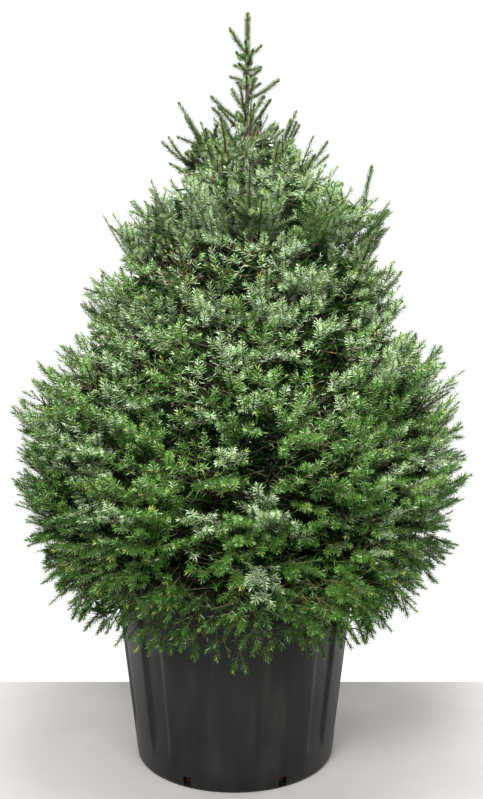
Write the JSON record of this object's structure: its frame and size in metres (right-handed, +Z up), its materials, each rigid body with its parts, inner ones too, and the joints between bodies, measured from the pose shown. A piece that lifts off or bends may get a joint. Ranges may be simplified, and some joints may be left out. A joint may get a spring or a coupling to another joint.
{
  "type": "potted spruce",
  "caption": "Young Serbian spruce with a dense conical crown, bulging skirt and slim leader, standing in a fluted round nursery pot.",
  "frame": {"origin": "middle of the pot's flat underside, on the ground", "axes": "+Z up along the plant, -Y towards the viewer of the front, +X to that viewer's right"},
  "size_m": [1.1369, 1.0888, 1.912],
  "materials": {
    "pot": "matt, faintly streaked",
    "soil": "rough, crumbly",
    "bark": "rough, scaly",
    "needles": "satin green with pale blue undersides"
  },
  "bodies": {
    "root": {"bough_low_1": "bark", "bough_low_2": "bark", "bough_low_3": "bark", "bough_low_4": "bark", "bough_low_5": "bark", "bough_low_6": "bark", "bough_low_7": "bark", "bough_skirt_1": "bark", "bough_skirt_2": "bark", "bough_skirt_3": "bark", "bough_skirt_4": "bark", "bough_skirt_5": "bark", "bough_skirt_6": "bark", "bough_skirt_7": "bark", "bough_skirt_8": "bark", "bough_skirt_9": "bark", "foliage_head_1": "needles", "foliage_head_2": "needles", "foliage_head_3": "needles", "foliage_leader": "needles", "foliage_low_1": "needles", "foliage_low_2": "needles", "foliage_low_3": "needles", "foliage_low_4": "needles", "foliage_low_5": "needles", "foliage_low_6": "needles", "foliage_low_7": "needles", "foliage_middle_1": "needles", "foliage_middle_2": "needles", "foliage_middle_3": "needles", "foliage_middle_4": "needles", "foliage_middle_5": "needles", "foliage_middle_6": "needles", "foliage_middle_7": "needles", "foliage_neck_1": "needles", "foliage_neck_2": "needles", "foliage_neck_3": "needles", "foliage_neck_4": "needles", "foliage_shoulder_1": "needles", "foliage_shoulder_2": "needles", "foliage_shoulder_3": "needles", "foliage_shoulder_4": "needles", "foliage_skirt_1": "needles", "foliage_skirt_2": "needles", "foliage_skirt_3": "needles", "foliage_skirt_4": "needles", "foliage_skirt_5": "needles", "foliage_skirt_6": "needles", "foliage_skirt_7": "needles", "foliage_skirt_8": "needles", "foliage_skirt_9": "needles", "foliage_waist_1": "needles", "foliage_waist_2": "needles", "foliage_waist_3": "needles", "foliage_waist_4": "needles", "foliage_waist_5": "needles", "foliage_waist_6": "needles", "pot": "pot", "soil": "soil", "trunk": "bark"}
  },
  "joints": []
}
